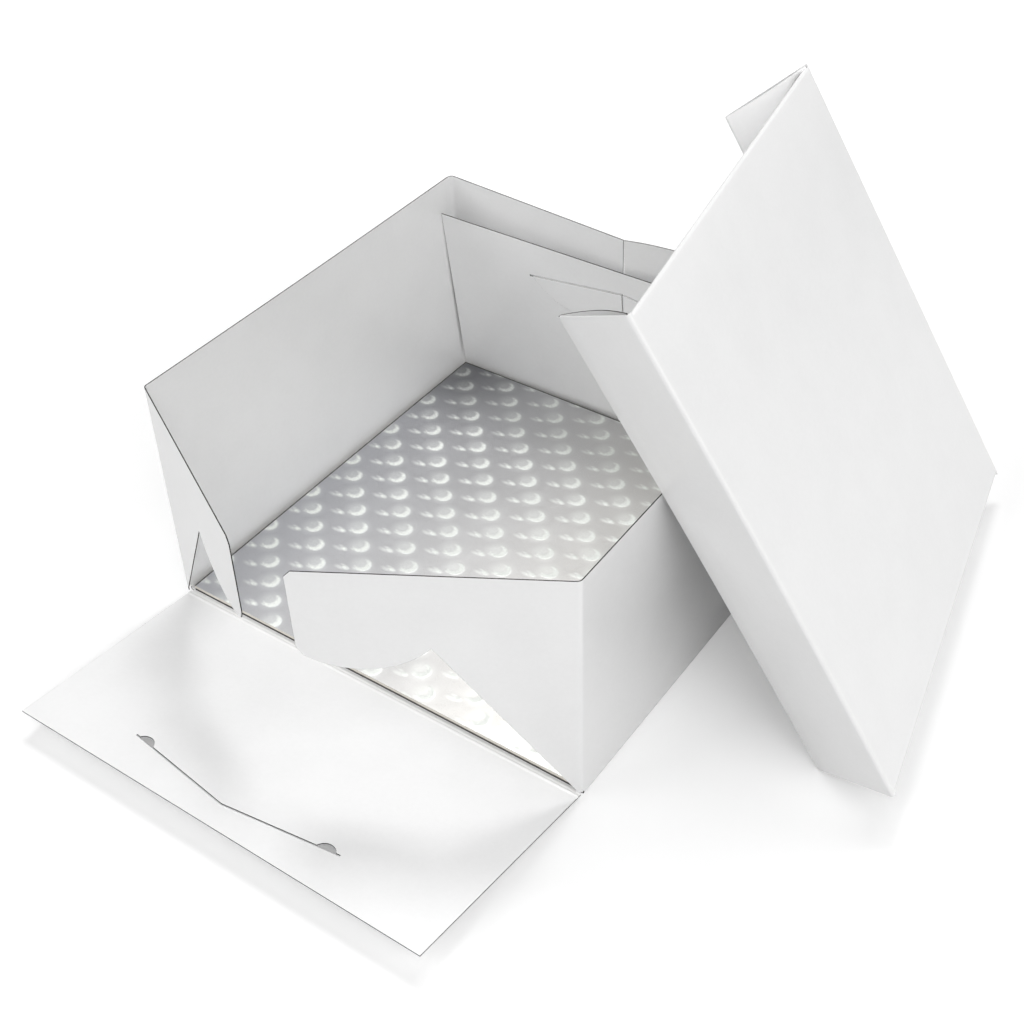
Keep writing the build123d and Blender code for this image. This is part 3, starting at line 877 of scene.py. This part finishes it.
@dataclass
class CakeBox:
    """Folded box body with its dropped flap and its ears."""

    stock: Stock
    width: float = 279.4 * MM
    depth: float = 279.4 * MM
    height: float = 152.4 * MM
    left_lean: float = math.radians(1.2)
    back_lean: float = math.radians(2.7)
    back_turn: float = math.radians(4.0)
    left_ear_angle: float = math.radians(62.0)
    right_ear_angle: float = math.radians(60.0)
    relief: float = 1.2 * MM
    corner_radius: float = 3.0 * MM
    wall_bow: float = 0.9 * MM
    wall_bow_power: float = 1.6
    wall_zone: float = 6 * MM
    ear_bow: float = 3.4 * MM
    ear_bow_peak: float = 34.0 * MM
    ear_bow_foot: float = 113.0 * MM
    flap_lift: float = math.radians(7.3)
    flap_crease: float = 140.45 * MM
    flap_radius: float = 2.0 * MM
    flap_margin: float = 2.0 * MM
    bead_half: float = 1.3 * MM
    bead_height: float = 0.4 * MM
    bead_steps: int = 6
    back_flap_lean: float = math.radians(8.0)
    back_flap_crease: float = 138.73 * MM
    back_flap_half: float = 137.6 * MM

    def build(self) -> None:
        """Make every sheet and fold of the box."""
        base_trims = [self._side(side) for side in Side]
        flap_fold = self._flap_fold()
        self._moving("flap_fold", flap_fold, self._bead_path(flap_fold))
        rear_fold = self._rear_fold()
        self._still("back_flap_fold", rear_fold)
        base_trims += [flap_fold.trim_first(), rear_fold.trim_first()]
        Panel("base_panel", Body.BOX, base_trims).build(self.stock)
        Panel("front_flap", Body.FLAP, [flap_fold.trim_second()]).build(self.stock)
        Panel("back_flap", Body.BOX, [rear_fold.trim_second()]).build(self.stock)

    def warp(self, point: Vector) -> Vector:
        """Bow of the walls: none on the creases, most at the middle of the top edge."""
        x, y, z = point
        along = math.sin(math.pi * min(1.0, max(0.0, (y + self.depth / 2) / self.depth)))
        rise = min(1.0, max(0.0, z / self.height)) ** self.wall_bow_power
        if abs(x) > self.width / 2 - self.wall_zone:
            x -= math.copysign(self.wall_bow, x) * along * rise
        return Vector((x, y, z))

    def bow_right_ear(self, point: Vector) -> Vector:
        """Backward bow of the right back ear's free top, most a little beside the seam."""
        x, y, z = point
        share = max(0.0, x) / self.ear_bow_peak
        along = share * math.exp(1.0 - share)
        rise = min(1.0, max(0.0, (z - self.ear_bow_foot) / (self.height - self.ear_bow_foot)))
        return Vector((x, y + self.ear_bow * along * rise * rise * (3 - 2 * rise), z))

    def _side(self, side: Side) -> Plane:
        """Make one wall, its two ears and their folds.

        Args:
            side: which side of the box it is.

        Returns:
            The plane that ends the base where the wall's fold begins.
        """
        name = side.name.lower()
        lean = self.left_lean if side is Side.LEFT else 0.0
        rise = Vector((-side * math.sin(lean), 0, math.cos(lean)))
        foot = Vector((side * (self.width / 2 - BOARD / 2), 0, BOARD / 2))
        run = Vector((0, self.depth / 2 - BOARD / 2 - 2 * self.relief, 0))
        base_fold = Fold(foot - run, foot + run, Vector((-side, 0, 0)), rise)
        self._still(f"{name}_base_fold", base_fold)
        back_fold, front_fold = self._ear_folds(side, foot, rise)
        self._still(f"{name}_back_fold", back_fold)
        ear = Body.LEFT_EAR if side is Side.LEFT else Body.RIGHT_EAR
        self._moving(f"{name}_front_fold", front_fold)
        trims = [base_fold.trim_second(), back_fold.trim_first(), front_fold.trim_first()]
        Panel(f"{name}_wall", Body.BOX, trims, self.warp).build(self.stock)
        bow = None if side is Side.LEFT else self.bow_right_ear
        Panel(f"back_{name}_ear", Body.BOX, [back_fold.trim_second()], bow).build(self.stock)
        Panel(f"front_{name}_ear", ear, [front_fold.trim_second()]).build(self.stock)
        return base_fold.trim_first()

    def _ear_folds(self, side: Side, foot: Vector, rise: Vector) -> tuple[Fold, Fold]:
        """Upright folds between a wall and its two ears.

        Args:
            side: which side of the box it is.
            foot: middle of the wall's crease on the base.
            rise: direction up the wall.

        Returns:
            The back ear's fold and the front ear's.
        """
        back, front = Vector((0, 1, 0)), Vector((0, -1, 0))
        run = Vector((0, self.depth / 2 - BOARD / 2, 0))
        top = self.height - BOARD / 2
        lean, turn = self.back_lean, self.back_turn
        up = (rise * math.cos(lean) - Vector((0, math.sin(lean), 0))).normalized()
        square = up.cross(Vector((0, math.cos(lean), math.sin(lean)))).normalized() * side
        inward = up.cross(square) * side
        second = square * math.cos(turn) + inward * math.sin(turn)
        ends = foot + run + up * BOARD, foot + run + up * top
        back_fold = Fold(*ends, front, second, self.corner_radius)
        angle = self.left_ear_angle if side is Side.LEFT else self.right_ear_angle
        inward = Vector((-side * rise.z, 0, side * rise.x)).normalized()
        second = front * math.cos(angle) + inward * math.sin(angle)
        ends = foot - run + rise * 3.0 * self.relief, foot - run + rise * top
        return back_fold, Fold(*ends, back, second, self.corner_radius)

    def _flap_fold(self) -> Fold:
        """Fold between the base and the dropped front flap."""
        crease = Vector((0, -self.flap_crease, BOARD / 2))
        half = Vector((self.width / 2 - self.relief, 0, 0))
        second = Vector((0, -math.cos(self.flap_lift), math.sin(self.flap_lift)))
        bend = self.flap_radius, self.flap_margin
        return Fold(crease - half, crease + half, Vector((0, 1, 0)), second, *bend)

    def _bead_path(self, fold: Fold) -> list[Vector]:
        """Middle of the board over the raised bead that creasing leaves on the inner side.

        Args:
            fold: the fold that has the bead.

        Returns:
            The points, from the first panel to the second.
        """
        points = [fold.first * fold.reach]
        for step in range(-self.bead_steps, self.bead_steps + 1):
            share = step / self.bead_steps
            arm = fold.first if step < 0 else fold.second
            lift = self.bead_height * (0.5 + 0.5 * math.cos(math.pi * share))
            points.append(arm * (self.bead_half * abs(share)) + Vector((0, 0, lift)))
        points.append(fold.second * fold.reach)
        return points

    def _rear_fold(self) -> Fold:
        """Fold between the base and the back flap that stands up from it."""
        crease = Vector((0, self.back_flap_crease, BOARD / 2))
        rise = Vector((0, -math.sin(self.back_flap_lean), math.cos(self.back_flap_lean)))
        half = Vector((self.back_flap_half, 0, 0))
        return Fold(crease - half, crease + half, Vector((0, -1, 0)), rise)

    def _still(self, name: str, fold: Fold) -> None:
        """Make a fold that rides on the box."""
        piece = Sweep(name, fold.start, fold.end, fold.path()).build(self.stock)
        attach(piece, Body.BOX.value)

    def _moving(
        self, name: str, fold: Fold, path: list[Vector] | None = None
    ) -> None:
        """Make a fold at a crease whose panel turns, baked in place and riding on no body.

        Args:
            name: the piece's name.
            fold: the fold to make.
            path: middle of the board, where it isn't the fold's own.
        """
        piece = Sweep(name, fold.start, fold.end, path or fold.path()).build(self.stock)
        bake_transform(piece)


@dataclass
class CakeCard:
    """Loose foil-faced board in the box."""

    stock: Stock

    def build(self) -> None:
        """Dress the three layers."""
        dress = {
            "card_backing": self.stock.paper,
            "card_core_board": self.stock.board,
            "card_foil": self.stock.foil,
        }
        for node, material in dress.items():
            mesh = self.stock.nodes[node].data
            mesh.materials.clear()
            mesh.materials.append(material)
            log.info("finish %s", node)


@dataclass
class LeaningLid:
    """Shallow lid with its rolled sides, leaning on the right wall."""

    stock: Stock
    width: float = 281.0 * MM
    lean: float = math.radians(31.18)
    yaw: float = math.radians(11.96)
    roll: float = math.radians(-1.82)
    depth: float = 56.0 * MM
    pocket: float = 1.0 * MM
    bow: float = 3.2 * MM
    margin: float = 3.0 * MM
    edge_bow: float = 2.2 * MM
    outer_steps: int = 6
    rim_steps: int = 8
    inner_steps: int = 14
    near_pale_steps: int = 5
    near_angle: float = math.radians(27.8)
    far_angle: float = math.radians(46.0)
    end_angle: float = math.radians(36.0)

    def __post_init__(self) -> None:
        """Work out the lid's own axes."""
        level = Vector((-math.sin(self.yaw), math.cos(self.yaw), 0))
        away = Vector((math.cos(self.yaw), math.sin(self.yaw), 0))
        up = Vector((0, 0, 1))
        self.normal = away * math.cos(self.lean) + up * math.sin(self.lean)
        rise = self.normal.cross(level)
        self.across = level * math.cos(self.roll) + rise * math.sin(self.roll)
        self.down = self.across.cross(self.normal)

    def place(self) -> None:
        """Find the lid's upper near corner from its packed top and near side."""
        nodes = self.stock.nodes
        side = [vertex.co for vertex in nodes["lid_near_side"].data.vertices]
        top = [vertex.co for vertex in nodes["lid_top"].data.vertices]
        over = min(point.dot(self.across) for point in side)
        low = [point.dot(self.down) for point in side]
        out = [point.dot(self.normal) for point in top]
        middle = (min(out) + max(out)) / 2
        start = (min(low) + max(low)) / 2 - self.width / 2
        self.corner = self.down * start + self.across * over + self.normal * middle

    def point(self, down: float, over: float) -> Vector:
        """Point of the lid's top from distances down its slope and across it."""
        return self.corner + self.down * down + self.across * over

    def build(self) -> None:
        """Make every sheet and fold of the lid."""
        self.place()
        half, size = BOARD / 2, self.width
        edge = size - half
        across, down = self.across, self.down
        near = self._fold(self.near_angle, (0, half), (size, half), across)
        far = self._fold(self.far_angle, (0, edge), (size, edge), across * -1)
        low, high = near.reach + half, size - far.reach - half
        upper = self._fold(self.end_angle, (half, low), (half, high), down)
        lower = self._fold(self.end_angle, (edge, low), (edge, high), down * -1)
        self._rolled("near", near, across)
        self._rolled("far", far, across * -1)
        self._folded("upper", upper)
        self._folded("lower", lower)
        trims = [fold.trim_first() for fold in (near, far, upper, lower)]
        Panel("lid_top", Body.LID, trims, self.warp).build(self.stock)
        for end in ("upper", "lower"):
            for side in ("near", "far"):
                Panel(f"lid_{end}_{side}_ear", Body.LID, pale=True).build(self.stock)

    def warp(self, point: Vector) -> Vector:
        """Inward bow of the lid's near edge, most at the middle of its length."""
        away = point - self.corner
        along = min(1.0, max(0.0, away.dot(self.down) / self.width))
        over = min(1.0, max(0.0, away.dot(self.across) / self.width))
        return point + self.across * (self.edge_bow * math.sin(math.pi * along) * (1 - over) ** 2)

    def _fold(self, angle: float, start: Pair, end: Pair, inward: Vector) -> Fold:
        """Fold between the lid's top and one side."""
        side = self.normal * -math.cos(angle) + inward * math.sin(angle)
        return Fold(self.point(*start), self.point(*end), inward, side)

    def _rolled(self, name: str, fold: Fold, inward: Vector) -> None:
        """Make a side whose card rolls over its rim and back up inside.

        Args:
            name: which side it is.
            fold: the fold between the top and the side.
            inward: direction from the crease across the top.
        """
        bend = fold.path()
        path = bend[:-1] + self._rolled_path(fold, inward)
        pale = len(path) if name == "far" else len(bend) + self.near_pale_steps
        title = f"lid_{name}_rolled_side"
        made = Sweep(title, fold.start, fold.end, path, self.warp, pale=pale).build(self.stock)
        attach(made, Body.LID.value)
        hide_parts(f"lid_{name}_side", f"lid_{name}_rollover")

    def _folded(self, name: str, fold: Fold) -> None:
        """Make a plain side and its fold.

        Args:
            name: which side it is.
            fold: the fold between the top and the side.
        """
        bend = fold.path()
        ends = fold.start, fold.end
        made = Sweep(f"lid_{name}_fold", *ends, bend, self.warp, pale=len(bend)).build(self.stock)
        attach(made, Body.LID.value)
        trims = [fold.trim_second()]
        Panel(f"lid_{name}_side", Body.LID, trims, self.warp, pale=True).build(self.stock)

    def _rolled_path(self, fold: Fold, inward: Vector) -> list[Vector]:
        """Middle of the board down the outer layer, round the rim and back up inside.

        Args:
            fold: the fold between the top and the side.
            inward: direction from the crease across the top.

        Returns:
            The points, from the fold to the inner layer's free edge.
        """
        away = fold.second
        into = (inward - away * inward.dot(away)).normalized()
        roll = BOARD / 2 + self.pocket / 2
        reach = self.depth - roll
        points = []
        for step in range(self.outer_steps + 1):
            run = (reach - fold.reach) * step / self.outer_steps
            points.append(away * (fold.reach + run))
        for step in range(1, self.rim_steps + 1):
            turn = math.pi * step / self.rim_steps
            beyond = away * (reach + roll * math.sin(turn))
            points.append(beyond + into * roll * (1 - math.cos(turn)))
        for step in range(1, self.inner_steps + 1):
            share = step / self.inner_steps
            bow = (self.bow - BOARD / 2) * math.sin(math.pi * share)
            back = away * (reach + (self.margin - reach) * share)
            points.append(back + into * (self.pocket + BOARD + bow))
        return points


# Studio


@dataclass(frozen=True)
class Lamp:
    """Soft square lamp, with its side in metres, its power in watts and the point it faces."""

    name: str
    place: Triple
    size: float
    power: float
    aim: Triple = (0.0, 0.0, 0.1)

    def build(self) -> None:
        """Hang the lamp."""
        data = bpy.data.lights.new(self.name, "AREA")
        data.shape = "SQUARE"
        data.size = self.size
        data.energy = self.power
        lamp = bpy.data.objects.new(self.name, data)
        lamp.location = self.place
        facing = Vector(self.aim) - Vector(self.place)
        lamp.rotation_euler = facing.to_track_quat("-Z", "Y").to_euler()
        bpy.context.scene.collection.objects.link(lamp)


@dataclass
class Studio:
    """White table, soft light and the camera of the photograph."""

    floor_size: float = 12.0
    floor_drop: float = 0.3 * MM
    floor_tone: float = 0.82
    glow_reach: Pair = (0.33, 1.2)
    near_glow: float = 0.22
    ambient: float = 0.13
    shown: float = 1.0
    lamps: tuple[Lamp, ...] = (
        Lamp("front_right", (2.2, -1.6, 2.6), 3.0, 84.0),
        Lamp("front_left", (-1.8, -1.8, 1.8), 2.0, 32.0),
        Lamp("lid_side", (2.5, 1.0, 1.2), 2.0, 13.0),
        Lamp("top_back", (-0.45, 0.75, 2.3), 0.6, 16.0),
        Lamp("top", (0.3, 0.8, 2.4), 0.8, 7.0),
    )
    focal_px: float = 1505.2
    frame_px: float = 1024.0
    sensor: float = 36.0
    azimuth: float = math.radians(36.529)
    elevation: float = math.radians(40.771)
    roll: float = math.radians(-2.397)
    distance: float = 0.94447
    target: Triple = (-0.01891, 0.02497, 0.0)
    far: float = 50.0

    def build(self) -> None:
        """Make the floor, the light and the camera."""
        self._floor()
        self._world()
        for lamp in self.lamps:
            lamp.build()
        self._camera()
        bpy.context.scene.view_settings.view_transform = "Standard"

    def _floor(self) -> None:
        """White table that keeps the object's shadow, and glows to the camera only."""
        half, level = self.floor_size / 2, -self.floor_drop
        mesh = bpy.data.meshes.new("table_top")
        corners = [(-half, -half), (half, -half), (half, half), (-half, half)]
        mesh.from_pydata([(x, y, level) for x, y in corners], [], [(0, 1, 2, 3)])
        floor = bpy.data.objects.new("table_top", mesh)
        bpy.context.scene.collection.objects.link(floor)
        graph = Graph(bpy.data.materials.new("white_table"))
        colour = (self.floor_tone, self.floor_tone, self.floor_tone, 1.0)
        matte = graph.node("ShaderNodeBsdfDiffuse", {"Color": colour}).outputs[0]
        away = graph.distance(graph.place(), (0.0, 0.0, 0.0))
        strength = graph.smooth(away, self.glow_reach, (self.near_glow, 1.0))
        glow = graph.node("ShaderNodeEmission", {"Strength": strength}).outputs[0]
        lit = graph.node("ShaderNodeAddShader", {0: matte, 1: glow}).outputs[0]
        seen = graph.node("ShaderNodeLightPath").outputs["Is Camera Ray"]
        graph.node("ShaderNodeOutputMaterial", {"Surface": graph.choose(seen, matte, lit)})
        mesh.materials.append(graph.owner)

    def _world(self) -> None:
        """Even white surroundings, brighter to the camera and in reflections than as light."""
        world = bpy.data.worlds.new("white_room")
        bpy.context.scene.world = world
        graph = Graph(world)
        path = graph.node("ShaderNodeLightPath").outputs
        sky = []
        for strength in (self.ambient, self.shown):
            inputs = {"Color": (1.0, 1.0, 1.0, 1.0), "Strength": strength}
            sky.append(graph.node("ShaderNodeBackground", inputs).outputs[0])
        gloss = graph.math("MAXIMUM", path["Is Glossy Ray"], path["Is Transmission Ray"])
        seen = graph.math("MAXIMUM", path["Is Camera Ray"], gloss)
        graph.node("ShaderNodeOutputWorld", {"Surface": graph.choose(seen, *sky)})

    def _camera(self) -> None:
        """Place the camera at the photograph's viewing angle."""
        flat = math.cos(self.elevation)
        x, y = math.sin(self.azimuth) * flat, -math.cos(self.azimuth) * flat
        back = Vector((x, y, math.sin(self.elevation)))
        right = (back * -1).cross(Vector((0, 0, 1))).normalized()
        up = back.cross(right)
        turned_right = right * math.cos(self.roll) + up * math.sin(self.roll)
        turned_up = up * math.cos(self.roll) - right * math.sin(self.roll)
        data = bpy.data.cameras.new("photo_camera")
        data.sensor_width = self.sensor
        data.lens = self.focal_px / self.frame_px * self.sensor
        data.clip_end = self.far
        camera = bpy.data.objects.new("photo_camera", data)
        axes = Matrix((turned_right, turned_up, back)).transposed()
        place = Vector(self.target) + back * self.distance
        camera.matrix_world = Matrix.Translation(place) @ axes.to_4x4()
        bpy.context.scene.collection.objects.link(camera)
        bpy.context.scene.camera = camera


def main() -> None:
    """Build the box, the cake card, the lid and the studio in order."""
    logging.basicConfig(level=logging.INFO, format="%(name)s: %(message)s")
    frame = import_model()
    stock = Stock(frame["nodes"])
    CakeBox(stock).build()
    CakeCard(stock).build()
    LeaningLid(stock).build()
    Studio().build()


if __name__ == "__main__":
    main()
